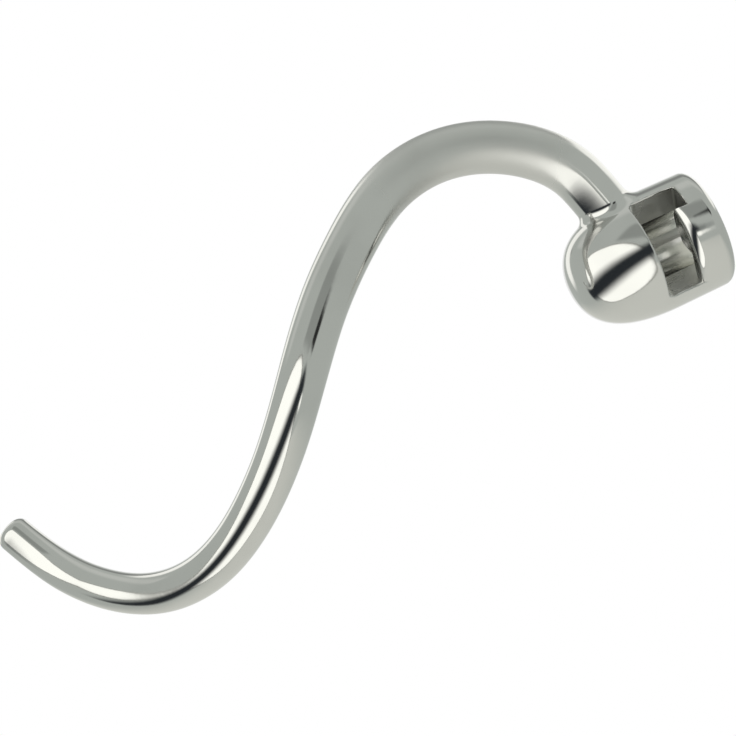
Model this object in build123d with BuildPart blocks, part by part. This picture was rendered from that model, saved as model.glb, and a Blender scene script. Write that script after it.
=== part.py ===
"""Dough hook of a stand mixer: a bayonet socket hub and a tapered helical rod, cast in one piece."""

import os
from math import cos, radians, sin

from build123d import *

# Hub: a bullet with its socket's mouth at the origin, facing up
rim_diameter = 26.0
barrel_diameter = 26.4
barrel_length = 13.9
nose_length = 19.7
nose_fullness = 0.68
rim_round = 2.4

# Drive socket: a blind bore for a half-inch shaft
shaft_diameter = 12.7
shaft_clearance = 0.15
socket_depth = 25.0
socket_floor_round = 1.5
mouth_break = 0.4

# Bayonet for the shaft's cross pin: keyway in, window to turn in, notch to lock in
pin_diameter = 5.8
pin_clearance = 0.25
pin_reach = 9.6
window_top = 8.6
window_bottom = 16.5
notch_top = 5.7
lock_angle = -43.0
entry_angle = 40.0
window_lip_round = 1.8
window_sill_round = 0.5

# Rod: its centre line's widest reach from the axis and its fall below the barrel
root_diameter = 11.5
tip_diameter = 7.8
taper_power = 1.6
rod_reach = 37.4
rod_length = 147.4

# Stations of the centre line as share of the reach, turn about the axis and share of the fall
rod_stations = [
    (0.219, 181, 0.0265),
    (0.401, 183, 0.0414),
    (0.591, 184, 0.0590),
    (0.853, 186, 0.1242),
    (1.000, 189, 0.2246),
    (0.979, 197, 0.3277),
    (0.866, 211, 0.4145),
    (0.765, 230, 0.4932),
    (0.717, 255, 0.5665),
    (0.690, 281, 0.6370),
    (0.663, 307, 0.7103),
    (0.620, 335, 0.7849),
    (0.561, 364, 0.8596),
    (0.497, 400, 0.9274),
    (0.519, 427, 0.9613),
    (0.618, 460, 1.0000),
]
root_fillet = 1.8
tip_round = 2.0

# Sections that shape the taper
section_count = 22

rim_radius = rim_diameter / 2
barrel_radius = barrel_diameter / 2
hub_length = barrel_length + nose_length
socket_radius = shaft_diameter / 2 + shaft_clearance
slot_width = pin_diameter + 2 * pin_clearance
window_height = window_bottom - window_top
outside = barrel_diameter


def rod_point(reach_share, turn, fall_share):
    """A place on the rod's centre line, with the turn seen from above."""
    reach = rod_reach * reach_share
    drop = barrel_length + rod_length * fall_share
    return (reach * cos(radians(turn)), reach * sin(radians(turn)), -drop)


def outward(angle):
    """Direction away from the axis, at an angle from the front toward the right."""
    return Vector(sin(radians(angle)), -cos(radians(angle)), 0)


def facing_plane(angle, drop):
    """Plane on the axis that faces outward, with its first side up."""
    return Plane(origin=(0, 0, -drop), x_dir=(0, 0, 1), z_dir=outward(angle))


def half_plane(angle, drop):
    """Plane through the axis, with its first side outward and its second side up."""
    return Plane(origin=(0, 0, -drop), x_dir=outward(angle), z_dir=outward(angle - 90))


with BuildLine():
    centre_line = Spline(*[rod_point(*station) for station in rod_stations])

with BuildPart() as dough_hook:
    # Bullet-shaped hub, turned from its half profile
    with BuildSketch(Plane.XZ):
        with BuildLine():
            Line((0, -hub_length), (0, 0))
            Line((0, 0), (rim_radius, 0))
            Line((rim_radius, 0), (barrel_radius, -barrel_length))
            Bezier(
                (barrel_radius, -barrel_length),
                (barrel_radius, -barrel_length - nose_fullness * nose_length),
                (nose_fullness * barrel_radius, -hub_length),
                (0, -hub_length),
            )
        make_face()
        fillet(vertices().sort_by_distance((rim_radius, 0, 0))[0], rim_round)
    revolve(axis=Axis.Z)

    # Rod that leaves the hub's side and winds down in a narrowing helix
    for index in range(section_count):
        share = index / (section_count - 1)
        diameter = root_diameter + (tip_diameter - root_diameter) * share**taper_power
        station = centre_line.location_at(share, frame_method=FrameMethod.CORRECTED)
        with BuildSketch(Plane(station)):
            Circle(diameter / 2)
    loft()
    fillet(edges(Select.NEW), root_fillet)
    fillet(faces().sort_by(Axis.Z)[0].edges(), tip_round)

    # Blind socket with a broken edge at its mouth and a rounded floor
    with BuildSketch(Plane.XZ):
        with BuildLine():
            Polyline(
                (0, 0),
                (socket_radius + mouth_break, 0),
                (socket_radius, -mouth_break),
                (socket_radius, -socket_depth),
                (0, -socket_depth),
                close=True,
            )
        make_face()
        fillet(vertices().sort_by_distance((socket_radius, -socket_depth, 0))[0], socket_floor_round)
    revolve(axis=Axis.Z, mode=Mode.SUBTRACT)

    # Window that the cross pin turns in, between the entry and the lock
    with BuildSketch(half_plane(lock_angle, window_bottom)):
        Rectangle(outside, window_height, align=(Align.MIN, Align.MIN))
    revolve(axis=Axis.Z, revolution_arc=entry_angle - lock_angle, mode=Mode.SUBTRACT)
    for angle, top in ((lock_angle, notch_top), (entry_angle, window_top)):
        with BuildSketch(facing_plane(angle, window_bottom)):
            Rectangle(window_bottom - top, slot_width, align=(Align.MIN, Align.CENTER))
        extrude(amount=outside, mode=Mode.SUBTRACT)

    # Keyway that lets the pin in from the mouth, inside an unbroken rim
    with BuildSketch(facing_plane(entry_angle, window_bottom)):
        Rectangle(window_bottom, slot_width, align=(Align.MIN, Align.CENTER))
    extrude(amount=pin_reach + pin_clearance, mode=Mode.SUBTRACT)

    # Rounded lip over the window and rounded sill under it
    for drop, edge_round in ((window_top, window_lip_round), (window_bottom, window_sill_round)):
        edge_middle = outward(0) * barrel_radius - Vector(0, 0, drop)
        fillet(edges().sort_by_distance(edge_middle)[0], edge_round)

dough_hook.part.label = "dough_hook"
os.makedirs("parts", exist_ok=True)
export_step(dough_hook.part, "parts/dough_hook.step")
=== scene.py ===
"""Dress the dough hook: one polished steel casting, a bayonet hub with a tapered helical rod."""

from __future__ import annotations

import logging
import math
from collections.abc import Callable
from dataclasses import dataclass, field
from enum import Enum
from typing import Union

import bpy
import numpy as np
from mathutils import Matrix, Vector

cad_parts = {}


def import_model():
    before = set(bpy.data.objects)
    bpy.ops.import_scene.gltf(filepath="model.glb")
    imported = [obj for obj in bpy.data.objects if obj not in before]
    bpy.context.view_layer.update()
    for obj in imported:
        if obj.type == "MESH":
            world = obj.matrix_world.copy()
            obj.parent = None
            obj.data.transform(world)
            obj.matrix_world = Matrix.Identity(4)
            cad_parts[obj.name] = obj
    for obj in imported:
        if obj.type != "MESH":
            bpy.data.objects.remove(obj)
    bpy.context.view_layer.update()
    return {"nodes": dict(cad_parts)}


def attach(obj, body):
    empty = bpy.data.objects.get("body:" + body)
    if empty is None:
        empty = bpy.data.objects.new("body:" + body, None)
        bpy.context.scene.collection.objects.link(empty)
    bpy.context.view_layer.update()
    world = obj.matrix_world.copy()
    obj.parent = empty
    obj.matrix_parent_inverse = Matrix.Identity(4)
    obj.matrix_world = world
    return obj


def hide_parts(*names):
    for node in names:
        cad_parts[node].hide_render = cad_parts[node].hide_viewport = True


MM = 0.001
FULL_TURN = 360.0
QUARTER_TURN = 90.0
NODE = "dough_hook"
BODY = "root"
LOG = logging.getLogger("dough_hook_scene")

# Distance within which two places count as the same, and within which points are merged
HAIR = 0.05 * MM
MERGE = 0.1 * HAIR

# Steps of a search by halving, and points of a line that distances are measured to
HALVINGS = 40
SKIN_SAMPLES = 90

# Numbers of the colour sockets of a mix node
COLOR_A = 6
COLOR_B = 7
COLOR_RESULT = 2

Test = Callable[[Vector], bool]
Color = tuple[float, float, float]
Feed = Union[bpy.types.NodeSocket, Vector, float, tuple[float, ...]]


class Mode(Enum):
    """Mode that an object is worked in."""

    OBJECT = "OBJECT"
    EDIT = "EDIT"


class Pick(Enum):
    """What an edit-mode selection is made of."""

    EDGES = "EDGE"
    FACES = "FACE"


class Zone(Enum):
    """Which finish a face of the casting carries, as its material index."""

    POLISHED = 0
    SATIN = 1
    BORED = 2


def enter(mode: Mode) -> None:
    """Put the active object into a mode."""
    bpy.ops.object.mode_set(mode=mode.value)


def reach_of(place: Vector) -> float:
    """Distance of a place from the hub's axis."""
    return math.hypot(place.x, place.y)


def front_angle(place: Vector) -> float:
    """Angle of a place about the axis, in degrees from the front toward the right."""
    return math.degrees(math.atan2(place.x, -place.y))


def outward(angle: float) -> Vector:
    """Direction away from the axis at a front angle in degrees."""
    return Vector((math.sin(math.radians(angle)), -math.cos(math.radians(angle)), 0.0))


@dataclass
class Bench:
    """A mesh object on the bench, shaped by operators.

    Attributes:
        obj: The mesh object being shaped.
    """

    obj: bpy.types.Object

    @classmethod
    def from_point(cls, name: str, place: Vector) -> Bench:
        """Start a piece from a small square that is merged to one point.

        Args:
            name: Name of the piece.
            place: Where the point lies.

        Returns:
            The bench that holds the new piece, in edit mode.
        """
        bpy.ops.object.select_all(action="DESELECT")
        bpy.ops.mesh.primitive_plane_add(size=MM, location=place)
        bench = cls(bpy.context.object)
        bench.obj.name = name
        bpy.ops.object.transform_apply(location=True, rotation=True, scale=True)
        enter(Mode.EDIT)
        bpy.ops.mesh.merge(type="CENTER")
        return bench

    def activate(self, mode: Mode) -> None:
        """Make this the active object, and the only selected one.

        Args:
            mode: Mode that it is put into.
        """
        if bpy.context.object is not None and bpy.context.object.mode != Mode.OBJECT.value:
            enter(Mode.OBJECT)
        bpy.ops.object.select_all(action="DESELECT")
        self.obj.select_set(True)
        bpy.context.view_layer.objects.active = self.obj
        enter(mode)

    def edge_middle(self, edge: bpy.types.MeshEdge) -> Vector:
        """Place of an edge's middle."""
        start, end = (self.obj.data.vertices[number].co for number in edge.vertices)
        return (start + end) / 2

    def clear_picks(self, kind: Pick) -> None:
        """Start an empty selection, and leave edit mode for it to be filled.

        Args:
            kind: Edges or faces.
        """
        self.activate(Mode.EDIT)
        bpy.ops.mesh.select_mode(type=kind.value)
        bpy.ops.mesh.select_all(action="DESELECT")
        enter(Mode.OBJECT)

    def pick(self, kind: Pick, test: Test) -> None:
        """Select what has its middle in a place that passes a test, and stay in edit mode.

        Args:
            kind: Edges or faces.
            test: Tells for a middle whether it is picked.
        """
        self.clear_picks(kind)
        if kind is Pick.FACES:
            picked = [face for face in self.obj.data.polygons if test(face.center)]
        else:
            picked = [edge for edge in self.obj.data.edges if test(self.edge_middle(edge))]
        for item in picked:
            item.select = True
        enter(Mode.EDIT)

    def pick_faces(self, numbers: np.ndarray) -> None:
        """Select faces by their numbers, and stay in edit mode.

        Args:
            numbers: Numbers of the faces.
        """
        self.clear_picks(Pick.FACES)
        for number in numbers:
            self.obj.data.polygons[int(number)].select = True
        enter(Mode.EDIT)

    def pick_open_edges(self) -> None:
        """Select every edge that borders a hole, and stay in edit mode."""
        self.clear_picks(Pick.EDGES)
        enter(Mode.EDIT)
        bpy.ops.mesh.select_non_manifold(
            extend=False,
            use_wire=False,
            use_boundary=True,
            use_multi_face=False,
            use_non_contiguous=False,
            use_verts=False,
        )

    def delete_faces(self, test: Test) -> None:
        """Delete the faces whose middle passes a test."""
        self.pick(Pick.FACES, test)
        bpy.ops.mesh.delete(type="FACE")

    def split_bent_faces(self, limit: float) -> None:
        """Split faces that are bent into flat ones, so that the join can't lose a part of them.

        Args:
            limit: Angle up to which a bent face is left whole, in degrees.
        """
        self.activate(Mode.EDIT)
        bpy.ops.mesh.select_all(action="SELECT")
        bpy.ops.mesh.vert_connect_nonplanar(angle_limit=math.radians(limit))

    def close_up(self) -> None:
        """Merge doubles and turn every face outward."""
        self.activate(Mode.EDIT)
        bpy.ops.mesh.select_all(action="SELECT")
        bpy.ops.mesh.remove_doubles(threshold=MERGE)
        bpy.ops.mesh.normals_make_consistent(inside=False)
        enter(Mode.OBJECT)

    def apply(self, modifier: bpy.types.Modifier) -> None:
        """Apply one of the object's modifiers."""
        self.activate(Mode.OBJECT)
        bpy.ops.object.modifier_apply(modifier=modifier.name)

    def places(self) -> np.ndarray:
        """Places of all points of the mesh.

        Returns:
            One row for each point.
        """
        flat = np.empty(3 * len(self.obj.data.vertices))
        self.obj.data.vertices.foreach_get("co", flat)
        return flat.reshape(-1, 3)

    def set_places(self, places: np.ndarray) -> None:
        """Move all points of the mesh.

        Args:
            places: New places, one row for each point.
        """
        self.activate(Mode.OBJECT)
        self.obj.data.vertices.foreach_set("co", places.ravel())
        self.obj.data.update()


@dataclass
class Hub:
    """The bullet-shaped hub, with its drive socket and its bayonet window.

    Lengths are in metres, and angles in degrees from the front toward the right. A drop is measured down
    from the rim. Columns are the spun mesh's steps about the axis, counted from the front.
    """

    # Barrel and nose
    rim_radius: float = 13.0 * MM
    barrel_radius: float = 13.2 * MM
    barrel_length: float = 13.9 * MM
    nose_length: float = 19.7 * MM
    nose_fullness: float = 0.68

    # Drive socket
    socket_radius: float = 6.5 * MM
    socket_depth: float = 25.0 * MM

    # Keyway, window and locking notch for the shaft's cross pin
    slot_half: float = 3.15 * MM
    keyway_reach: float = 9.85 * MM
    window_top: float = 8.6 * MM
    window_bottom: float = 16.5 * MM
    notch_top: float = 5.7 * MM
    lock_angle: float = -43.0
    entry_angle: float = 40.0

    # Rounds and broken edges
    rim_round: float = 2.4 * MM
    socket_floor_round: float = 1.5 * MM
    mouth_break: float = 0.4 * MM
    lip_round: float = 1.8 * MM
    edge_round: float = 0.5 * MM
    corner_round: float = 1.3 * MM

    # Columns of the blank, and those at which its wall is cut
    columns: int = 120
    lock_column: int = -19
    tooth_column: int = -10
    keyway_column: int = -2
    entry_column: int = 18

    # Rows of the blank and of its rounds
    nose_rows: int = 30
    window_rows: int = 8
    round_rows: int = 6
    edge_segments: int = 6

    # Margins that tell the blank's edges and faces apart, the first as a share of a column
    column_slack: float = 0.1
    arc_slack: float = 0.2 * MM
    keyway_margin: float = 0.5 * MM
    wall_margin: float = 1.0 * MM
    skin_margin: float = 0.6 * MM

    # Angle past which a bent face is split
    bend_limit: float = 30.0

    @property
    def length(self) -> float:
        """Length of the hub from the rim to the nose."""
        return self.barrel_length + self.nose_length

    @property
    def step(self) -> float:
        """Angle of one column."""
        return FULL_TURN / self.columns

    @property
    def tick(self) -> float:
        """Angle within which a place counts as on a column's line."""
        return self.step / 4

    def nose_point(self, share: float) -> tuple[float, float]:
        """Point of the nose's curve.

        Args:
            share: Place on the curve, from the barrel at 0 to the tip at 1.

        Returns:
            Its reach and its drop.
        """
        back = 1.0 - share
        full = self.nose_fullness
        reach = self.barrel_radius * (back**3 + 3 * back**2 * share + 3 * back * share**2 * full)
        fall = 3 * back**2 * share * full + 3 * back * share**2 + share**3
        return reach, self.barrel_length + self.nose_length * fall

    def nose_share(self, drop: float) -> float:
        """Place on the nose's curve at a drop, found by halving.

        Args:
            drop: The drop.

        Returns:
            The place, from the barrel at 0 to the tip at 1.
        """
        low, high = 0.0, 1.0
        for _ in range(HALVINGS):
            middle = (low + high) / 2
            if self.nose_point(middle)[1] < drop:
                low = middle
            else:
                high = middle
        return (low + high) / 2

    def skin_reach(self, drop: float) -> float:
        """Radius of the hub's outer skin, without its rounds.

        Args:
            drop: Where it is measured.

        Returns:
            The radius there.
        """
        if drop <= self.barrel_length:
            return self.rim_radius + (self.barrel_radius - self.rim_radius) * drop / self.barrel_length
        return self.nose_point(self.nose_share(min(drop, self.length)))[0]

    def window_drops(self) -> list[float]:
        """Drops of the rows that the window's sides share, from its sill up to its lip."""
        rows = np.linspace(self.window_bottom, self.window_top, self.window_rows + 1)
        return [float(row) for row in rows]

    def profile(self) -> list[tuple[float, float]]:
        """Half profile of the hub, as reach and drop.

        Returns:
            The points from the nose's tip up the outside, over the rim and down the socket to its floor.
        """
        sill_share = self.nose_share(self.window_bottom)
        points = [self.nose_point(float(share)) for share in np.linspace(1.0, sill_share, self.nose_rows)]
        points += [(self.skin_reach(drop), drop) for drop in self.window_drops()[1:]]
        points.append((self.skin_reach(self.notch_top), self.notch_top))
        centre = self.skin_reach(self.rim_round) - self.rim_round
        for turn in np.linspace(0.0, math.pi / 2, self.round_rows + 1):
            reach = centre + self.rim_round * math.cos(turn)
            points.append((reach, self.rim_round * (1 - math.sin(turn))))
        points.append((self.keyway_reach, 0.0))
        points.append((self.socket_radius + self.mouth_break, 0.0))
        points.append((self.socket_radius, self.mouth_break))
        points.append((self.socket_radius, self.notch_top))
        points += [(self.socket_radius, drop) for drop in reversed(self.window_drops())]
        floor = self.socket_floor_round
        for turn in np.linspace(0.0, math.pi / 2, self.round_rows):
            reach = self.socket_radius - floor * (1 - math.cos(turn))
            points.append((reach, self.socket_depth - floor * (1 - math.sin(turn))))
        points.append((0.0, self.socket_depth))
        return points

    def spin_blank(self) -> Bench:
        """Draw the half profile by extruding a point, and spin it.

        Returns:
            The closed blank, with even columns.
        """
        places = [Vector((0.0, -reach, -drop)) for reach, drop in self.profile()]
        bench = Bench.from_point("hub", places[0])
        for here, there in zip(places, places[1:]):
            bpy.ops.mesh.extrude_region_move(TRANSFORM_OT_translate={"value": there - here})
        bpy.ops.mesh.select_all(action="SELECT")
        bpy.ops.mesh.spin(steps=self.columns, angle=math.tau, center=(0, 0, 0), axis=(0, 0, 1))
        bench.close_up()
        return bench

    def column_of(self, place: Vector) -> float:
        """Column of a place, while the columns are even."""
        return front_angle(place) / self.step

    def in_window(self, place: Vector) -> bool:
        """Whether a face of the blank's wall lies in the window or its notch.

        Args:
            place: The face's middle, while the columns are even.

        Returns:
            True if it does.
        """
        column = self.column_of(place)
        if not self.lock_column < column < self.entry_column:
            return False
        top = self.notch_top if column < self.tooth_column else self.window_top
        in_wall = reach_of(place) > self.socket_radius - self.wall_margin
        return top < -place.z < self.window_bottom and in_wall

    def in_keyway(self, place: Vector) -> bool:
        """Whether a face of the band lies in the keyway's way.

        Args:
            place: The face's middle, while the columns are even.

        Returns:
            True if it does.
        """
        between = self.keyway_column < self.column_of(place) < self.entry_column
        inner = reach_of(place) < self.keyway_reach - self.keyway_margin
        return between and inner and -place.z < self.window_top + HAIR

    def crosses_underside(self, place: Vector) -> bool:
        """Whether an edge runs outward across the band's underside.

        Args:
            place: The edge's middle, while the columns are even.

        Returns:
            True if it does.
        """
        column = self.column_of(place)
        on_underside = abs(-place.z - self.window_top) < HAIR
        on_line = abs(column - round(column)) < self.column_slack
        between = self.tooth_column <= round(column) <= self.entry_column
        across = abs(reach_of(place) - self.keyway_reach) < self.wall_margin
        return on_underside and on_line and between and across

    def on_keyway_arc(self, place: Vector) -> bool:
        """Whether an edge lies along the keyway's end, at the mouth or at the band's underside.

        Args:
            place: The edge's middle, while the columns are even.

        Returns:
            True if it does.
        """
        level = min(-place.z, abs(-place.z - self.window_top)) < HAIR
        between = self.keyway_column < self.column_of(place) < self.entry_column
        return level and between and abs(reach_of(place) - self.keyway_reach) < self.arc_slack

    def cut_window(self, bench: Bench) -> None:
        """Open the window through the wall, and bridge its outer edge to its inner one.

        Args:
            bench: The blank.
        """
        bench.delete_faces(self.in_window)
        bench.pick_open_edges()
        bpy.ops.mesh.bridge_edge_loops()

    def cut_keyway(self, bench: Bench) -> None:
        """Take the keyway out of the band's inside, from the mouth down to the window.

        Args:
            bench: The blank, with its window open.
        """
        bench.pick(Pick.EDGES, self.crosses_underside)
        bpy.ops.mesh.subdivide(number_cuts=1, ngon=True)
        bench.delete_faces(self.in_keyway)
        bench.pick(Pick.EDGES, self.on_keyway_arc)
        bpy.ops.mesh.bridge_edge_loops()
        bench.pick_open_edges()
        bpy.ops.mesh.fill_holes(sides=0)

    def wall_angle(self, slot_angle: float, side: int, reach: float) -> float:
        """Angle at which one wall of a straight slot meets a circle about the axis."""
        return slot_angle + side * math.degrees(math.asin(self.slot_half / reach))

    def column_knots(self) -> tuple[list[float], list[float], list[float]]:
        """Angles that the columns at the walls are turned from and to.

        Returns:
            The even angles of the lock, tooth, keyway and entry columns and of the first one a turn later,
            the angles that they get on the outside, and those that they get in the socket.
        """
        columns = (self.lock_column, self.tooth_column, self.keyway_column, self.entry_column)
        even = [column * self.step for column in columns]
        walls = [(angle, side) for angle in (self.lock_angle, self.entry_angle) for side in (-1, 1)]
        outer = [self.wall_angle(angle, side, self.barrel_radius) for angle, side in walls]
        inner = [self.wall_angle(angle, side, self.socket_radius) for angle, side in walls]
        # The keyway stays inside the band, so its column isn't turned on the outside
        outer[2] = even[2]
        for knots in (even, outer, inner):
            knots.append(knots[0] + FULL_TURN)
        return even, outer, inner

    def turned(self, place: Vector, even: list[float], outer: list[float], inner: list[float]) -> Vector:
        """Where turning the columns takes a place.

        Args:
            place: A place on the blank, while the columns are even.
            even: Even angles of the columns at the walls.
            outer: Angles that they get on the outside.
            inner: Angles that they get in the socket.

        Returns:
            The new place, at the same height.
        """
        reach, angle, drop = reach_of(place), front_angle(place), -place.z
        lock, keyway, entry = even[0], even[2], even[3]
        if angle < lock - self.tick:
            angle += FULL_TURN
        at_end = abs(reach - self.keyway_reach) < self.keyway_margin and drop < self.window_top + HAIR
        if at_end and keyway - self.tick < angle < entry + self.tick:
            along, aside = outward(self.entry_angle), outward(self.entry_angle + QUARTER_TURN)
            share = (angle - keyway) / (entry - keyway)
            end = along * self.keyway_reach + aside * self.slot_half * (2 * share - 1)
            return Vector((end.x, end.y, place.z))
        inside = reach < self.socket_radius + 2 * self.mouth_break and drop < self.socket_depth + HAIR
        new_place = outward(float(np.interp(angle, even, inner if inside else outer))) * reach
        return Vector((new_place.x, new_place.y, place.z))

    def turn_columns(self, bench: Bench) -> None:
        """Turn the even columns so that window, notch and keyway get the walls of straight slots.

        Args:
            bench: The blank, with its window and its keyway cut.
        """
        knots = self.column_knots()
        bench.set_places(np.array([self.turned(Vector(place), *knots) for place in bench.places()]))

    def round_corners(self, bench: Bench) -> None:
        """Draw the window's corners in to a round, on the skin and in the socket alike.

        Args:
            bench: The hub, with its columns turned.
        """
        corners = (
            (self.lock_angle, -1, self.window_bottom, -1),
            (self.lock_angle, -1, self.notch_top, 1),
            (self.entry_angle, 1, self.window_bottom, -1),
        )
        middle = np.array((self.corner_round, self.corner_round))
        places = bench.places()
        for index, place in enumerate(places):
            reach, angle, drop = reach_of(Vector(place)), front_angle(Vector(place)), -place[2]
            on_skin = abs(reach - self.skin_reach(drop)) < HAIR
            if not on_skin and abs(reach - self.socket_radius) > HAIR:
                continue
            wall_reach = self.barrel_radius if on_skin else self.socket_radius
            for slot_angle, side, level, way in corners:
                wall = self.wall_angle(slot_angle, side, wall_reach)
                spot = np.array((math.radians(wall - angle) * side * reach, (drop - level) * way))
                if abs(spot.min()) > HAIR or spot.max() > self.corner_round:
                    continue
                apart = spot - middle
                spot = middle + apart * self.corner_round / np.linalg.norm(apart)
                new_drop = level + way * spot[1]
                new_place = outward(wall - side * math.degrees(spot[0] / reach))
                new_place *= self.skin_reach(new_drop) if on_skin else reach
                places[index] = (new_place.x, new_place.y, -new_drop)
        bench.set_places(places)

    def edge_weight(self, place: Vector) -> float:
        """How much an edge is bevelled.

        Args:
            place: The edge's middle, before the window's corners are rounded.

        Returns:
            1 on the lip over the window, a share of it on the window's other outer edges, and 0 elsewhere.
        """
        angle, drop = front_angle(place), -place.z
        if reach_of(place) < self.rim_radius - HAIR:
            return 0.0
        left = self.wall_angle(self.lock_angle, -1, self.barrel_radius)
        tooth = self.wall_angle(self.lock_angle, 1, self.barrel_radius)
        right = self.wall_angle(self.entry_angle, 1, self.barrel_radius)
        if abs(drop - self.window_top) < HAIR and tooth < angle < right:
            return 1.0
        levels = ((self.window_bottom, left, right), (self.notch_top, left, tooth))
        uprights = (
            (left, self.notch_top, self.window_bottom),
            (tooth, self.notch_top, self.window_top),
            (right, self.window_top, self.window_bottom),
        )
        on_level = any(abs(drop - at) < HAIR and low < angle < high for at, low, high in levels)
        on_upright = any(abs(angle - at) < self.tick and low < drop < high for at, low, high in uprights)
        return self.edge_round / self.lip_round if on_level or on_upright else 0.0

    def round_edges(self, bench: Bench) -> None:
        """Round the window's corners and its outer edges, and its lip more than the rest.

        Args:
            bench: The hub, with its columns turned.
        """
        bench.activate(Mode.OBJECT)
        mesh = bench.obj.data
        weights = mesh.attributes.new("bevel_weight_edge", "FLOAT", "EDGE")
        for edge in mesh.edges:
            weights.data[edge.index].value = self.edge_weight(bench.edge_middle(edge))
        self.round_corners(bench)
        bevel = bench.obj.modifiers.new("edge rounds", "BEVEL")
        bevel.limit_method = "WEIGHT"
        bevel.width = self.lip_round
        bevel.segments = self.edge_segments
        bevel.use_clamp_overlap = False
        bench.apply(bevel)

    def build(self) -> Bench:
        """Make the hub.

        Returns:
            The hub as a closed mesh.
        """
        bench = self.spin_blank()
        self.cut_window(bench)
        self.cut_keyway(bench)
        self.turn_columns(bench)
        self.round_edges(bench)
        bench.split_bent_faces(self.bend_limit)
        bench.close_up()
        return bench

    def zone(self, place: Vector) -> Zone:
        """Which finish a face of the casting carries.

        Args:
            place: The face's middle.

        Returns:
            The finish of the socket, of the keyway and the window's walls, or of the outside.
        """
        reach, drop = reach_of(place), -place.z
        if reach < self.socket_radius + HAIR and drop < self.socket_depth + HAIR:
            return Zone.BORED
        by_keyway = reach < self.keyway_reach + self.wall_margin and HAIR < drop < self.window_top
        below_skin = reach < self.rim_radius - self.skin_margin
        by_window = below_skin and self.notch_top - HAIR < drop < self.window_bottom + HAIR
        return Zone.SATIN if by_keyway or by_window else Zone.POLISHED

    def skin_line(self) -> np.ndarray:
        """Reach and drop along the outer skin, from the rim to the nose's tip."""
        nose = [self.nose_point(float(share)) for share in np.linspace(0.0, 1.0, SKIN_SAMPLES)]
        return np.array([(self.rim_radius, 0.0), *nose])

    def skin_gap(self, places: np.ndarray) -> np.ndarray:
        """Distance of places from the outer skin of barrel and nose.

        Args:
            places: Places to measure from.

        Returns:
            One distance for each place, less than zero inside.
        """
        skin = self.skin_line()
        starts, ways = skin[:-1], np.diff(skin, axis=0)
        spots = np.stack((np.hypot(places[:, 0], places[:, 1]), -places[:, 2]), axis=1)
        apart = spots[:, None, :] - starts
        shares = np.clip((apart * ways).sum(axis=2) / (ways**2).sum(axis=1), 0.0, 1.0)
        gap = np.linalg.norm(apart - shares[:, :, None] * ways, axis=2).min(axis=1)
        outside = spots[:, 0] > np.interp(spots[:, 1], skin[:, 1], skin[:, 0])
        return np.where(outside, gap, -gap)


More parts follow.
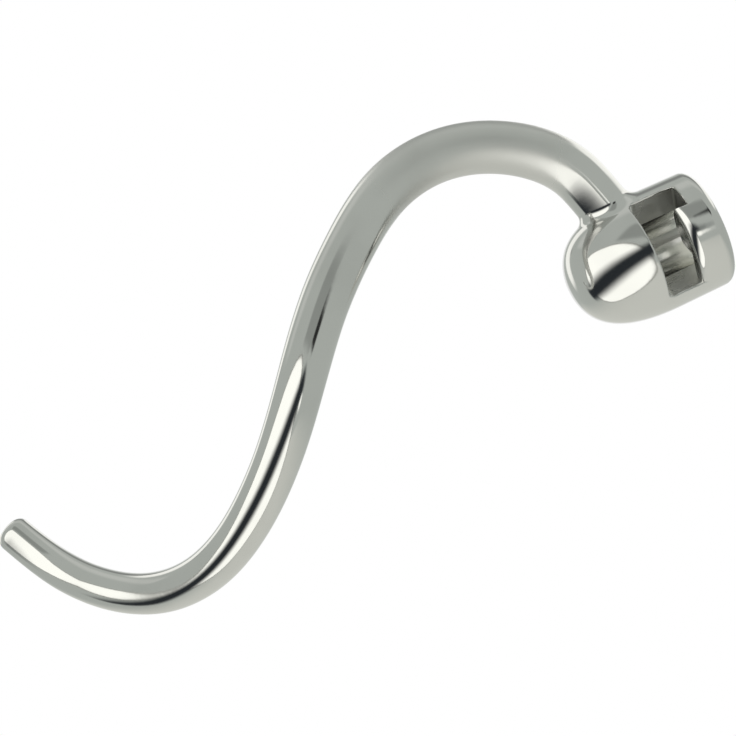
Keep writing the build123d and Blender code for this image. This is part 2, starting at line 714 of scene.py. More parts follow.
@dataclass
class Rod:
    """The tapered rod, along the same stations as the solid.

    Each station is a share of the reach, a turn about the axis in degrees and a share of the fall.
    """

    stations: tuple[tuple[float, float, float], ...] = (
        (0.219, 181, 0.0265),
        (0.401, 183, 0.0414),
        (0.591, 184, 0.0590),
        (0.853, 186, 0.1242),
        (1.000, 189, 0.2246),
        (0.979, 197, 0.3277),
        (0.866, 211, 0.4145),
        (0.765, 230, 0.4932),
        (0.717, 255, 0.5665),
        (0.690, 281, 0.6370),
        (0.663, 307, 0.7103),
        (0.620, 335, 0.7849),
        (0.561, 364, 0.8596),
        (0.497, 400, 0.9274),
        (0.519, 427, 0.9613),
        (0.618, 460, 1.0000),
    )

    # Centre line and taper
    reach: float = 37.4 * MM
    start_drop: float = Hub.barrel_length
    fall: float = 147.4 * MM
    root_radius: float = 5.73 * MM
    tip_radius: float = 3.88 * MM
    taper_power: float = 1.6

    # Tip, and how far from the end it is worked, in tip radii
    tip_round: float = 2.0 * MM
    tip_rows: int = 8
    tip_zone: float = 3.0

    # Root: where it is cut, and the spans of the line that the fillet can touch
    root_reach: float = 10.0 * MM
    root_spans: int = 3

    # Steps around a quarter of the rod, and along each span
    side_steps: int = 34
    span_steps: int = 14

    def points(self) -> np.ndarray:
        """Places of the stations.

        Returns:
            One row for each station.
        """
        rows = []
        for reach_share, turn, fall_share in self.stations:
            reach, angle = self.reach * reach_share, math.radians(turn)
            drop = self.start_drop + self.fall * fall_share
            rows.append((reach * math.cos(angle), reach * math.sin(angle), -drop))
        return np.array(rows)

    def slopes(self, points: np.ndarray, spans: np.ndarray) -> np.ndarray:
        """Slopes at the stations that let the line through them bend without a break.

        Args:
            points: Places of the stations.
            spans: Distances from each station to the next.

        Returns:
            One slope for each station, per metre of span.
        """
        count = len(points)
        rows = np.zeros((count, count))
        sides = np.zeros((count, 3))
        # The line runs straight out at both ends
        rows[0, :2] = (2.0, 1.0)
        sides[0] = 3.0 * (points[1] - points[0]) / spans[0]
        rows[-1, -2:] = (1.0, 2.0)
        sides[-1] = 3.0 * (points[-1] - points[-2]) / spans[-1]
        for index in range(1, count - 1):
            before, after = spans[index - 1], spans[index]
            rows[index, index - 1 : index + 2] = (after, 2 * (before + after), before)
            ahead = before * (points[index + 1] - points[index]) / after
            behind = after * (points[index] - points[index - 1]) / before
            sides[index] = 3.0 * (ahead + behind)
        return np.linalg.solve(rows, sides)

    def centre_line(self) -> tuple[np.ndarray, np.ndarray, np.ndarray]:
        """The line through the stations.

        Returns:
            The stations' places, the distances from each to the next, and the line's slopes at them.
        """
        points = self.points()
        spans = np.linalg.norm(np.diff(points, axis=0), axis=1)
        return points, spans, self.slopes(points, spans)

    def radius_at(self, share: float) -> float:
        """Radius of the rod at a share of its length."""
        return self.root_radius + (self.tip_radius - self.root_radius) * share**self.taper_power

    def draw(self) -> Bench:
        """Draw the rod as a curve with a round section that tapers, and make it a mesh.

        Returns:
            The rod, open at both ends.
        """
        points, spans, slopes = self.centre_line()
        shares = np.concatenate(([0.0], np.cumsum(spans))) / spans.sum()
        bpy.ops.object.select_all(action="DESELECT")
        bpy.ops.curve.primitive_bezier_curve_add()
        bench = Bench(bpy.context.object)
        curve = bench.obj.data
        curve.resolution_u = self.span_steps
        # A depth of one lets each knot's radius be the rod's own
        curve.bevel_depth = 1.0
        curve.bevel_resolution = self.side_steps
        curve.twist_mode = "MINIMUM"
        spline = curve.splines[0]
        spline.radius_interpolation = "CARDINAL"
        spline.bezier_points.add(len(points) - len(spline.bezier_points))
        for index, knot in enumerate(spline.bezier_points):
            before = spans[max(index - 1, 0)]
            after = spans[min(index, len(spans) - 1)]
            knot.handle_left_type = "FREE"
            knot.handle_right_type = "FREE"
            knot.co = points[index]
            knot.handle_left = points[index] - slopes[index] * before / 3
            knot.handle_right = points[index] + slopes[index] * after / 3
            knot.radius = self.radius_at(shares[index])
        bpy.ops.object.convert(target="MESH")
        bench.obj = bpy.context.object
        bench.obj.name = "rod"
        return bench

    def cut_root(self, bench: Bench) -> None:
        """Cut the rod's root square, inside the hub's wall.

        Args:
            bench: The rod.
        """
        lowest = self.start_drop + self.reach / 2
        bench.pick(Pick.FACES, lambda place: place.x < 0 and -place.z < lowest)
        bpy.ops.mesh.bisect(
            plane_co=(-self.root_reach, 0, 0),
            plane_no=(1, 0, 0),
            use_fill=True,
            clear_outer=True,
            threshold=MERGE,
        )

    def round_tip(self, bench: Bench) -> None:
        """Cut the tip back by its round, then grow the round in rings and close it with a flat end.

        Args:
            bench: The rod.
        """
        points, _, slopes = self.centre_line()
        ahead = Vector(slopes[-1]).normalized()
        end = Vector(points[-1])
        start = end - ahead * self.tip_round
        bench.pick(Pick.FACES, lambda place: (place - end).length < self.tip_zone * self.tip_radius)
        bpy.ops.mesh.bisect(plane_co=start, plane_no=ahead, clear_outer=True, threshold=MERGE)
        bench.pick_open_edges()
        radius, way = self.tip_radius, 0.0
        for turn in np.linspace(0.0, math.pi / 2, self.tip_rows + 1)[1:]:
            new_way = self.tip_round * math.sin(turn)
            new_radius = self.tip_radius - self.tip_round * (1 - math.cos(turn))
            bpy.ops.mesh.extrude_region_move(TRANSFORM_OT_translate={"value": ahead * (new_way - way)})
            scale = new_radius / radius
            bpy.ops.transform.resize(value=(scale, scale, scale), center_override=start + ahead * new_way)
            radius, way = new_radius, new_way
        bpy.ops.mesh.edge_face_add()

    def build(self) -> Bench:
        """Make the rod.

        Returns:
            The rod as a closed mesh, from inside the hub's wall to its rounded tip.
        """
        bench = self.draw()
        bench.close_up()
        self.cut_root(bench)
        self.round_tip(bench)
        bench.close_up()
        return bench

    def root_line(self) -> np.ndarray:
        """The centre line's first spans.

        Returns:
            Places along them, each with the rod's radius there.
        """
        points, spans, slopes = self.centre_line()
        rows = []
        way = 0.0
        for index in range(self.root_spans):
            for share in np.linspace(0.0, 1.0, SKIN_SAMPLES, endpoint=False):
                back = 1.0 - share
                start = points[index] * back**2 * (1 + 2 * share)
                end = points[index + 1] * share**2 * (1 + 2 * back)
                bow = slopes[index] * back - slopes[index + 1] * share
                middle = start + end + spans[index] * share * back * bow
                rows.append((*middle, self.radius_at((way + spans[index] * share) / spans.sum())))
            way += spans[index]
        return np.array(rows)

    def skin_gap(self, places: np.ndarray) -> np.ndarray:
        """Distance of places from the rod's skin near its root.

        Args:
            places: Places to measure from.

        Returns:
            One distance for each place, less than zero inside.
        """
        line = self.root_line()
        away = np.linalg.norm(places[:, None, :] - line[:, :3], axis=2)
        return (away - line[:, 3]).min(axis=1)


@dataclass
class Casting:
    """The whole hook: hub and rod in one mesh, with a fillet where they meet."""

    hub: Hub = field(default_factory=Hub)
    rod: Rod = field(default_factory=Rod)
    smooth_angle: float = 32.0

    # Fillet at the root, the skin that is refined for it and the passes that push it out
    root_fillet: float = 1.8 * MM
    refine_margin: float = 0.5 * MM
    refine_depth: float = 0.25 * MM
    fillet_cuts: int = 2
    fillet_passes: int = 8
    least_steep: float = 0.1

    # Skin that is shaded as the exact fillet
    shade_margin: float = 1.0 * MM
    shade_depth: float = 0.15 * MM

    def round_gap(self, places: np.ndarray) -> np.ndarray:
        """Distance from the joined skin of hub and rod, with the fillet's round between them.

        Args:
            places: Places to measure from.

        Returns:
            One distance for each place, less than zero inside.
        """
        hub_gap, rod_gap = self.hub.skin_gap(places), self.rod.skin_gap(places)
        hub_part = np.maximum(self.root_fillet - hub_gap, 0.0)
        rod_part = np.maximum(self.root_fillet - rod_gap, 0.0)
        return np.maximum(self.root_fillet, np.minimum(hub_gap, rod_gap)) - np.hypot(hub_part, rod_part)

    def round_slope(self, places: np.ndarray) -> np.ndarray:
        """Slope of the distance from the joined skin.

        Args:
            places: Places to measure at.

        Returns:
            One slope for each place, which points away from the skin.
        """
        slope = np.zeros_like(places)
        for axis in range(3):
            shift = np.zeros(3)
            shift[axis] = HAIR / 2
            slope[:, axis] = (self.round_gap(places + shift) - self.round_gap(places - shift)) / HAIR
        return slope

    def near_root(self, places: np.ndarray, margin: float, depth: float) -> np.ndarray:
        """Which places lie on the skin and by the seam between hub and rod.

        Args:
            places: Places to judge.
            margin: Greatest distance from either skin.
            depth: Greatest distance from the joined skin.

        Returns:
            The numbers of the places that do.
        """
        root = np.array((-self.hub.barrel_radius, 0.0, -self.hub.window_bottom))
        close = np.flatnonzero(np.linalg.norm(places - root, axis=1) < self.hub.barrel_radius)
        hub_gap, rod_gap = self.hub.skin_gap(places[close]), self.rod.skin_gap(places[close])
        on_skin = np.abs(np.minimum(hub_gap, rod_gap)) < depth
        return close[on_skin & (np.maximum(hub_gap, rod_gap) < margin)]

    def join(self) -> Bench:
        """Join hub and rod.

        Returns:
            Both in one closed mesh, without the fillet.
        """
        bench = self.hub.build()
        rod = self.rod.build()
        union = bench.obj.modifiers.new("join", "BOOLEAN")
        union.operation = "UNION"
        union.solver = "EXACT"
        union.object = rod.obj
        bench.apply(union)
        bpy.data.objects.remove(rod.obj)
        bench.obj.name = "hook"
        return bench

    def push_out(self, bench: Bench, chosen: np.ndarray) -> None:
        """Push points of the skin onto the fillet.

        Args:
            bench: The hook.
            chosen: Numbers of the points.
        """
        places = bench.places()
        moved = places[chosen]
        for _ in range(self.fillet_passes):
            slope = self.round_slope(moved)
            steep = np.maximum((slope**2).sum(axis=1), self.least_steep)
            moved = moved - (self.round_gap(moved) / steep)[:, None] * slope
        places[chosen] = moved
        bench.set_places(places)

    def fill_root(self, bench: Bench) -> None:
        """Refine the skin by the seam, then push it out onto the fillet.

        Args:
            bench: The hook, without the fillet.
        """
        bench.activate(Mode.OBJECT)
        centres = np.array([face.center for face in bench.obj.data.polygons])
        bench.pick_faces(self.near_root(centres, self.root_fillet + self.refine_margin, self.refine_depth))
        bpy.ops.mesh.quads_convert_to_tris()
        bpy.ops.mesh.subdivide(number_cuts=self.fillet_cuts)
        bench.close_up()
        self.push_out(bench, self.near_root(bench.places(), self.root_fillet, HAIR / 2))

    def shade_root(self, bench: Bench) -> None:
        """Shade the skin by the seam as the exact fillet, whatever its facets are.

        Args:
            bench: The hook, with its shading smoothed.
        """
        places = bench.places()
        near = self.near_root(places, self.root_fillet + self.shade_margin, self.root_fillet)
        near = near[np.abs(self.round_gap(places[near])) < self.shade_depth]
        slope = self.round_slope(places[near])
        exact = np.zeros_like(places)
        exact[near] = slope / np.linalg.norm(slope, axis=1)[:, None]
        mesh = bench.obj.data
        shading = np.empty(3 * len(mesh.loops))
        mesh.corner_normals.foreach_get("vector", shading)
        shading = shading.reshape(-1, 3)
        corners = np.empty(len(mesh.loops), dtype=np.int32)
        mesh.loops.foreach_get("vertex_index", corners)
        by_seam = np.isin(corners, near)
        shading[by_seam] = exact[corners[by_seam]]
        mesh.normals_split_custom_set(shading.tolist())

    def build(self) -> Bench:
        """Make the hook, smooth its shading and hand it to the frame.

        Returns:
            The finished hook, without its finishes.
        """
        bench = self.join()
        self.fill_root(bench)
        bench.activate(Mode.OBJECT)
        bpy.ops.object.shade_smooth_by_angle(angle=math.radians(self.smooth_angle))
        weigh = bench.obj.modifiers.new("even shading", "WEIGHTED_NORMAL")
        weigh.keep_sharp = True
        bench.apply(weigh)
        self.shade_root(bench)
        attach(bench.obj, BODY)
        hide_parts(NODE)
        return bench

    def dress(self, bench: Bench) -> None:
        """Give the outside, the window's walls and the socket their three finishes, the walls' one a
        little darker as painted shade.

        Args:
            bench: The hook.
        """
        marks = PolishMarks().build()
        bench.obj.data.materials.clear()
        for zone in Zone:
            bench.obj.data.materials.append(FINISHES[zone].build(marks))
        for face in bench.obj.data.polygons:
            face.material_index = self.hub.zone(face.center).value


@dataclass(frozen=True)
class PhotoCamera:
    """Where the photograph was taken from, with lengths in metres and angles in degrees."""

    place: tuple[float, float, float] = (0.0, -722.2 * MM, -202.2 * MM)
    azimuth: float = -0.23
    elevation: float = 9.59
    roll: float = 65.22
    focal_pixels: float = 3487.0
    image_side: float = 736.0
    sensor: float = 36.0

    def axes(self) -> tuple[Vector, Vector, Vector]:
        """How the camera lies.

        Returns:
            The picture's right, the picture's up and the way back to the camera.
        """
        turn, lift, roll = (math.radians(angle) for angle in (self.azimuth, self.elevation, self.roll))
        ahead = Vector((math.sin(turn) * math.cos(lift), math.cos(turn) * math.cos(lift), math.sin(lift)))
        level = ahead.cross(Vector((0, 0, 1))).normalized()
        rise = level.cross(ahead)
        right = level * math.cos(roll) + rise * math.sin(roll)
        return right, right.cross(ahead), -ahead

    def build(self) -> None:
        """Make the camera and let the scene use it."""
        bpy.ops.object.camera_add()
        camera = bpy.context.object
        camera.data.sensor_width = self.sensor
        camera.data.lens = self.focal_pixels * self.sensor / self.image_side
        turn = Matrix(self.axes()).transposed().to_4x4()
        camera.matrix_world = Matrix.Translation(self.place) @ turn
        bpy.context.scene.camera = camera


def opaque(color: Color) -> tuple[float, ...]:
    """A colour with its alpha."""
    return (*color, 1.0)


def feed(tree: bpy.types.NodeTree, socket: bpy.types.NodeSocket, value: Feed) -> None:
    """Give an input its value.

    Args:
        tree: Node tree that the input is in.
        socket: The input.
        value: An output that is linked to it, or a value that is set on it.
    """
    if isinstance(value, bpy.types.NodeSocket):
        tree.links.new(value, socket)
    else:
        socket.default_value = value


def add_math(tree: bpy.types.NodeTree, operation: str, *values: Feed) -> bpy.types.NodeSocket:
    """Add a math node.

    Args:
        tree: Node tree that gets the node.
        operation: Name of the operation.
        values: What goes in, in the order of the node's sockets.

    Returns:
        The socket of the result.
    """
    node = tree.nodes.new("ShaderNodeMath")
    node.operation = operation
    for socket, value in zip(node.inputs, values):
        feed(tree, socket, value)
    return node.outputs[0]


def add_ramp(tree: bpy.types.NodeTree, value: Feed, low: Feed, high: Feed) -> bpy.types.NodeSocket:
    """Add a soft step from 0 to 1.

    Args:
        tree: Node tree that gets the node.
        value: What the step is taken of.
        low: Where the step starts.
        high: Where the step ends.

    Returns:
        The socket of the step.
    """
    node = tree.nodes.new("ShaderNodeMapRange")
    node.interpolation_type = "SMOOTHSTEP"
    feed(tree, node.inputs["Value"], value)
    feed(tree, node.inputs["From Min"], low)
    feed(tree, node.inputs["From Max"], high)
    return node.outputs["Result"]


def add_vector_math(
    tree: bpy.types.NodeTree, operation: str, first: Feed, second: Feed
) -> bpy.types.NodeSocket:
    """Add a vector math node that gives a number.

    Args:
        tree: Node tree that gets the node.
        operation: Name of the operation.
        first: The first vector.
        second: The second vector.

    Returns:
        The socket of the number.
    """
    node = tree.nodes.new("ShaderNodeVectorMath")
    node.operation = operation
    feed(tree, node.inputs[0], first)
    feed(tree, node.inputs[1], second)
    return node.outputs["Value"]


def add_noise(tree: bpy.types.NodeTree, place: Feed, size: float, detail: float) -> bpy.types.NodeSocket:
    """Add a noise texture.

    Args:
        tree: Node tree that gets the node.
        place: Socket of the coordinates.
        size: Size of its features in metres.
        detail: How many finer layers it has.

    Returns:
        The socket of its value.
    """
    node = tree.nodes.new("ShaderNodeTexNoise")
    feed(tree, node.inputs["Scale"], 1.0 / size)
    feed(tree, node.inputs["Detail"], detail)
    feed(tree, node.inputs["Vector"], place)
    return node.outputs["Fac"]


def add_mix(tree: bpy.types.NodeTree, factor: Feed, under: Feed, over: Feed) -> bpy.types.NodeSocket:
    """Lay a colour over another one.

    Args:
        tree: Node tree that gets the node.
        factor: Mask of the colour on top.
        under: Colour below.
        over: Colour on top.

    Returns:
        The socket of the mixed colour.
    """
    node = tree.nodes.new("ShaderNodeMix")
    node.data_type = "RGBA"
    feed(tree, node.inputs["Factor"], factor)
    feed(tree, node.inputs[COLOR_A], under)
    feed(tree, node.inputs[COLOR_B], over)
    return node.outputs[COLOR_RESULT]


def add_outputs(group: bpy.types.NodeTree, values: dict[str, bpy.types.NodeSocket]) -> None:
    """Give a node group its outputs.

    Args:
        group: The node group.
        values: The socket that feeds each output, by the output's name.
    """
    for name in values:
        group.interface.new_socket(name, in_out="OUTPUT", socket_type="NodeSocketFloat")
    result = group.nodes.new("NodeGroupOutput")
    for name, value in values.items():
        feed(group, result.inputs[name], value)


@dataclass(frozen=True)
class PolishMarks:
    """What polishing leaves in steel: a slow wave, a fine ripple, hairlines, smudges and a buffed bend.

    Sizes are in metres. Limits are the values of the noise between which a mark grows from none to full,
    and the bend's reach is the distances from its place between which its buffing does.
    """

    wave_size: float = 11.0 * MM
    wave_detail: float = 0.5
    ripple_size: float = 1.7 * MM
    ripple_detail: float = 1.0
    hairline_size: float = 0.16 * MM
    hairline_detail: float = 2.0
    hairline_stretch: float = 0.03
    hairline_limits: tuple[float, float] = (0.55, 0.75)
    smudge_size: float = 16.0 * MM
    smudge_detail: float = 3.0
    smudge_limits: tuple[float, float] = (0.4, 0.75)
    bend_place: tuple[float, float, float] = (-36.0 * MM, -5.0 * MM, -46.0 * MM)
    bend_reach: tuple[float, float] = (32.0 * MM, 15.0 * MM)

    def build(self) -> bpy.types.NodeTree:
        """Make the node group that the finishes share.

        Returns:
            A group that gives the marks' heights and masks from the object's own coordinates.
        """
        group = bpy.data.node_groups.new("polish marks", "ShaderNodeTree")
        place = group.nodes.new("ShaderNodeTexCoord").outputs["Object"]
        stretch = group.nodes.new("ShaderNodeMapping")
        feed(group, stretch.inputs["Scale"], (1.0, 1.0, self.hairline_stretch))
        feed(group, stretch.inputs["Vector"], place)
        hairs = add_noise(group, stretch.outputs["Vector"], self.hairline_size, self.hairline_detail)
        smudges = add_noise(group, place, self.smudge_size, self.smudge_detail)
        away = add_vector_math(group, "DISTANCE", place, self.bend_place)
        marks = {
            "Wave": add_noise(group, place, self.wave_size, self.wave_detail),
            "Ripple": add_noise(group, place, self.ripple_size, self.ripple_detail),
            "Hairlines": add_ramp(group, hairs, *self.hairline_limits),
            "Smudges": add_ramp(group, smudges, *self.smudge_limits),
            "Buffed Bend": add_ramp(group, away, *self.bend_reach),
        }
        add_outputs(group, marks)
        return group


@dataclass(frozen=True)
class SteelFinish:
    """One finish of the casting's steel.

    Attributes:
        name: Name of the material.
        color: Colour of the clean steel.
        dull_color: Colour under the smudges.
        roughness: Roughness of the clean steel.
        smudge_roughness: What the smudges add to it.
        hairline_roughness: What the hairlines add to it.
        bend_roughness: What the buffed bend adds to it.
        wave_height: Height of the slow wave in metres.
        ripple_height: Height of the fine ripple in metres.
    """

    name: str
    color: Color
    dull_color: Color
    roughness: float
    smudge_roughness: float
    hairline_roughness: float
    bend_roughness: float
    wave_height: float
    ripple_height: float

    def build(self, marks: bpy.types.NodeTree) -> bpy.types.Material:
        """Make the material.

        Args:
            marks: Node group of the polishing marks.

        Returns:
            A metal whose colour, roughness and relief follow the marks.
        """
        material = bpy.data.materials.new(self.name)
        material.use_nodes = True
        tree = material.node_tree
        shader = tree.nodes["Principled BSDF"].inputs
        group = tree.nodes.new("ShaderNodeGroup")
        group.node_tree = marks
        mark = group.outputs
        tint = add_mix(tree, mark["Smudges"], opaque(self.color), opaque(self.dull_color))
        rough: Feed = self.roughness
        for name, more in (
            ("Smudges", self.smudge_roughness),
            ("Hairlines", self.hairline_roughness),
            ("Buffed Bend", self.bend_roughness),
        ):
            rough = add_math(tree, "MULTIPLY_ADD", mark[name], more, rough)
        waves = add_math(tree, "MULTIPLY", mark["Wave"], self.wave_height)
        height = add_math(tree, "MULTIPLY_ADD", mark["Ripple"], self.ripple_height, waves)
        bump = tree.nodes.new("ShaderNodeBump")
        feed(tree, bump.inputs["Distance"], 1.0)
        feed(tree, bump.inputs["Height"], height)
        feed(tree, shader["Metallic"], 1.0)
        feed(tree, shader["Base Color"], tint)
        feed(tree, shader["Roughness"], rough)
        feed(tree, shader["Normal"], bump.outputs["Normal"])
        return material


POLISHED_STEEL = SteelFinish(
    name="polished steel",
    color=(0.64, 0.64, 0.62),
    dull_color=(0.6, 0.6, 0.58),
    roughness=0.078,
    smudge_roughness=0.03,
    hairline_roughness=0.03,
    bend_roughness=0.33,
    wave_height=0.07 * MM,
    ripple_height=0.004 * MM,
)
# The satin colour, and even more its colour under the smudges, is darker than the polished steel's.
# Besides the real satin finish, this paints shade onto the window's and the keyway's walls.
SATIN_STEEL_AND_WALL_SHADE = SteelFinish(
    name="satin steel and painted shade",
    color=(0.62, 0.62, 0.6),
    dull_color=(0.5, 0.5, 0.48),
    roughness=0.26,
    smudge_roughness=0.1,
    hairline_roughness=0.1,
    bend_roughness=0.0,
    wave_height=0.05 * MM,
    ripple_height=0.012 * MM,
)
BORED_STEEL = SteelFinish(
    name="bored steel",
    color=(0.8, 0.8, 0.77),
    dull_color=(0.7, 0.7, 0.67),
    roughness=0.1,
    smudge_roughness=0.06,
    hairline_roughness=0.08,
    bend_roughness=0.0,
    wave_height=0.05 * MM,
    ripple_height=0.006 * MM,
)
FINISHES = {Zone.POLISHED: POLISHED_STEEL, Zone.SATIN: SATIN_STEEL_AND_WALL_SHADE, Zone.BORED: BORED_STEEL}


@dataclass(frozen=True)
class Panel:
    """A flat lamp or screen of the studio, seen from the hook.

    Attributes:
        name: What it is.
        aim: Angles of its middle to the right of the camera and above it, in degrees, as the picture lies.
        tilt: Angle of its long side from the picture's right, in degrees.
        width: Half of its short side, with its distance from the hook as one.
        length: Half of its long side, with its distance from the hook as one.
        color: Light that it sends out.
        edge: Width of its soft edge, with its distance from the hook as one.
        power: How square its rounded outline is, 2 for an oval, or 0 for a rectangle.
    """

    name: str
    aim: tuple[float, float]
    tilt: float
    width: float
    length: float
    color: Color
    edge: float
    power: float = 0.0

    def axes(self, right: Vector, up: Vector, back: Vector) -> tuple[Vector, Vector, Vector]:
        """Directions of the panel's short side, of its long side and of its middle.

        Args:
            right: The picture's right.
            up: The picture's up.
            back: The way back to the camera.

        Returns:
            Three directions at right angles to each other.
        """
        off = math.radians(math.hypot(*self.aim))
        side, rise = (part / max(math.hypot(*self.aim), HAIR) for part in self.aim)
        middle = (right * side + up * rise) * math.sin(off) + back * math.cos(off)
        slant = math.radians(self.tilt)
        long_side = right * math.cos(slant) + up * math.sin(slant)
        long_side = (long_side - middle * long_side.dot(middle)).normalized()
        return long_side.cross(middle), long_side, middle


# Lamps and screens of the light tent, each laid over the ones before it: the frame and the strip belong
# to the bright opening in front
PANELS = (
    Panel("rear lamp", (-31.0, 101.0), 25.0, width=0.3, length=1.1, color=(0.7, 0.72, 0.69), edge=0.25),
    Panel("rear glow", (-31.0, 136.0), 25.0, width=0.2, length=1.1, color=(0.3, 0.31, 0.3), edge=0.15),
    Panel("right rim lamp", (92.0, 102.0), 40.0, 0.2, 0.8, color=(1.3, 1.3, 1.25), edge=0.08, power=4.0),
    Panel("left rim lamp", (-128.0, 48.0), 70.0, 0.2, 0.8, color=(1.3, 1.3, 1.25), edge=0.08, power=4.0),
    Panel("pale side", (35.0, -88.0), -67.0, width=1.65, length=4.2, color=(0.78, 0.79, 0.74), edge=1.45),
    Panel("frame", (-25.5, -20.0), 115.0, 1.12, 1.5, color=(0.24, 0.24, 0.22), edge=0.04, power=3.0),
    Panel("opening", (-25.5, -20.0), 115.0, 1.08, 1.46, color=(1.56, 1.56, 1.49), edge=0.09, power=3.0),
    Panel("strip", (-24.0, -23.5), 45.0, width=0.55, length=2.0, color=(0.03, 0.035, 0.04), edge=0.43),
    Panel("bright spot", (25.0, 5.0), 115.0, 0.07, 0.1, color=(1.5, 1.5, 1.43), edge=0.04, power=2.0),
    Panel("dark patch", (21.0, 38.0), 60.0, width=0.18, length=0.16, color=(0.03, 0.03, 0.03), edge=0.09),
    Panel("grey patch", (-2.0, 49.0), -34.0, width=0.26, length=0.36, color=(0.36, 0.38, 0.36), edge=0.13),
)


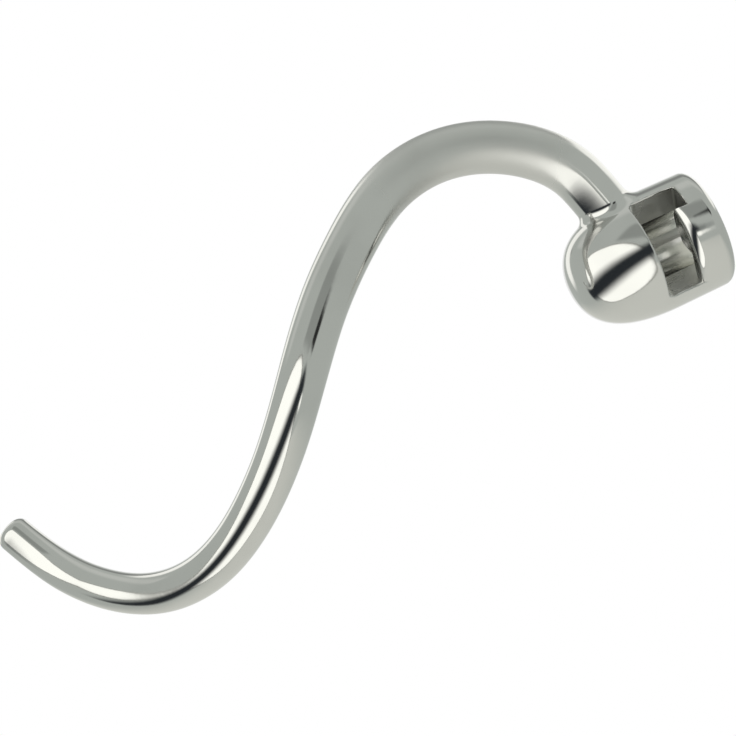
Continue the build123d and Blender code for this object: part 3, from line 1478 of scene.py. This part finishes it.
@dataclass(frozen=True)
class Studio:
    """The light tent that the steel mirrors, with a white backdrop behind the hook.

    Attributes:
        camera: The camera that the panels and the backdrop are placed by.
        tent: Light of the tent's walls.
        white: Light of the backdrop.
        backdrop_angle: Angle from the middle of the backdrop to its side, in degrees.
        backdrop_edge: Half the width of its soft side, in degrees.
        panels: Lamps and screens in the tent.
    """

    camera: PhotoCamera
    tent: Color = (0.56, 0.59, 0.56)
    white: Color = (1.0, 1.0, 1.0)
    backdrop_angle: float = 22.0
    backdrop_edge: float = 4.0
    panels: tuple[Panel, ...] = PANELS

    def panel_group(self) -> bpy.types.NodeTree:
        """Make the node group that tells whether a direction meets a panel.

        Returns:
            A group that gives a panel's mask from a direction and the panel's axes and size.
        """
        group = bpy.data.node_groups.new("panel", "ShaderNodeTree")
        for name in ("Ray", "Short Side", "Long Side", "Middle"):
            group.interface.new_socket(name, in_out="INPUT", socket_type="NodeSocketVector")
        for name in ("Width", "Length", "Edge", "Power"):
            group.interface.new_socket(name, in_out="INPUT", socket_type="NodeSocketFloat")
        given = group.nodes.new("NodeGroupInput").outputs
        ahead = add_vector_math(group, "DOT_PRODUCT", given["Ray"], given["Middle"])
        box: Feed = 1.0
        spread: Feed = 0.0
        for axis, size in (("Short Side", "Width"), ("Long Side", "Length")):
            aside = add_vector_math(group, "DOT_PRODUCT", given["Ray"], given[axis])
            off = add_math(group, "DIVIDE", aside, ahead)
            inner = add_math(group, "SUBTRACT", given[size], given["Edge"])
            fall = add_ramp(group, add_math(group, "ABSOLUTE", off), given[size], inner)
            box = add_math(group, "MULTIPLY", fall, box)
            share = add_math(group, "ABSOLUTE", add_math(group, "DIVIDE", off, given[size]))
            spread = add_math(group, "ADD", add_math(group, "POWER", share, given["Power"]), spread)
        soft = add_math(group, "DIVIDE", given["Edge"], given["Width"])
        far = add_math(group, "POWER", spread, add_math(group, "DIVIDE", 1.0, given["Power"]))
        oval = add_ramp(group, far, 1.0, add_math(group, "SUBTRACT", 1.0, soft))
        more = add_math(group, "SUBTRACT", oval, box)
        is_oval = add_math(group, "GREATER_THAN", given["Power"], 0.0)
        shape = add_math(group, "MULTIPLY_ADD", is_oval, more, box)
        in_front = add_math(group, "GREATER_THAN", ahead, 0.0)
        add_outputs(group, {"Mask": add_math(group, "MULTIPLY", in_front, shape)})
        return group

    def add_panel(
        self,
        tree: bpy.types.NodeTree,
        group: bpy.types.NodeTree,
        panel: Panel,
        ray: bpy.types.NodeSocket,
        under: Feed,
    ) -> bpy.types.NodeSocket:
        """Hang one panel in the tent.

        Args:
            tree: Node tree of the world.
            group: Node group that masks a panel.
            panel: The panel.
            ray: Socket of the direction.
            under: Colour behind the panel.

        Returns:
            The socket of the colour with the panel in it.
        """
        mask = tree.nodes.new("ShaderNodeGroup")
        mask.node_tree = group
        mask.label = panel.name
        short_side, long_side, middle = panel.axes(*self.camera.axes())
        values = {
            "Ray": ray,
            "Short Side": short_side,
            "Long Side": long_side,
            "Middle": middle,
            "Width": panel.width,
            "Length": panel.length,
            "Edge": panel.edge,
            "Power": panel.power,
        }
        for name, value in values.items():
            feed(tree, mask.inputs[name], value)
        return add_mix(tree, mask.outputs["Mask"], under, opaque(panel.color))

    def build(self) -> None:
        """Make the world that lights the scene."""
        world = bpy.data.worlds.new("studio")
        world.use_nodes = True
        bpy.context.scene.world = world
        tree = world.node_tree
        ray = tree.nodes.new("ShaderNodeTexCoord").outputs["Generated"]
        group = self.panel_group()
        color: Feed = opaque(self.tent)
        for panel in self.panels:
            color = self.add_panel(tree, group, panel, ray, color)
        toward_camera = add_vector_math(tree, "DOT_PRODUCT", ray, self.camera.axes()[2])
        sides = (self.backdrop_angle + self.backdrop_edge, self.backdrop_angle - self.backdrop_edge)
        backdrop = add_ramp(tree, toward_camera, *(-math.cos(math.radians(side)) for side in sides))
        path = tree.nodes.new("ShaderNodeLightPath").outputs
        mirrored = add_math(tree, "ADD", path["Is Glossy Ray"], path["Is Transmission Ray"])
        plain = add_math(tree, "ADD", path["Is Camera Ray"], path["Is Diffuse Ray"])
        shown = add_math(tree, "MULTIPLY_ADD", mirrored, backdrop, plain)
        lit = add_mix(tree, shown, color, opaque(self.white))
        feed(tree, tree.nodes["Background"].inputs["Color"], lit)


@dataclass(frozen=True)
class Floor:
    """A white floor below the hook, out of the photograph's sight.

    Attributes:
        drop: How far it lies below the rim, in metres.
        side: Length of its side, in metres.
        color: Its colour.
        roughness: Its roughness.
        camera_lift: Light that it adds where the camera sees it.
    """

    drop: float = 240.0 * MM
    side: float = 6.0
    color: Color = (0.98, 0.98, 0.98)
    roughness: float = 0.9
    camera_lift: float = 0.065

    def build(self) -> None:
        """Lay the floor, which the steel doesn't mirror and which looks as white as the backdrop."""
        bpy.ops.mesh.primitive_plane_add(size=self.side, location=(0, 0, -self.drop))
        floor = bpy.context.object
        floor.name = "floor"
        floor.visible_glossy = False
        material = bpy.data.materials.new("white floor")
        material.use_nodes = True
        tree = material.node_tree
        seen = tree.nodes.new("ShaderNodeLightPath").outputs["Is Camera Ray"]
        shader = tree.nodes["Principled BSDF"].inputs
        feed(tree, shader["Base Color"], opaque(self.color))
        feed(tree, shader["Roughness"], self.roughness)
        feed(tree, shader["Specular IOR Level"], 0.0)
        feed(tree, shader["Emission Color"], opaque(self.color))
        feed(tree, shader["Emission Strength"], add_math(tree, "MULTIPLY", seen, self.camera_lift))
        floor.data.materials.append(material)


def main() -> None:
    """Build the hook, its finishes and the studio."""
    logging.basicConfig(level=logging.INFO, format="%(name)s: %(message)s")
    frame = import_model()
    LOG.info("solids: %s", ", ".join(frame["nodes"]))
    casting = Casting()
    hook = casting.build()
    casting.dress(hook)
    LOG.info("%s: %d faces", hook.obj.name, len(hook.obj.data.polygons))
    camera = PhotoCamera()
    camera.build()
    Studio(camera).build()
    Floor().build()
    bpy.context.scene.view_settings.view_transform = "Standard"


if __name__ == "__main__":
    main()
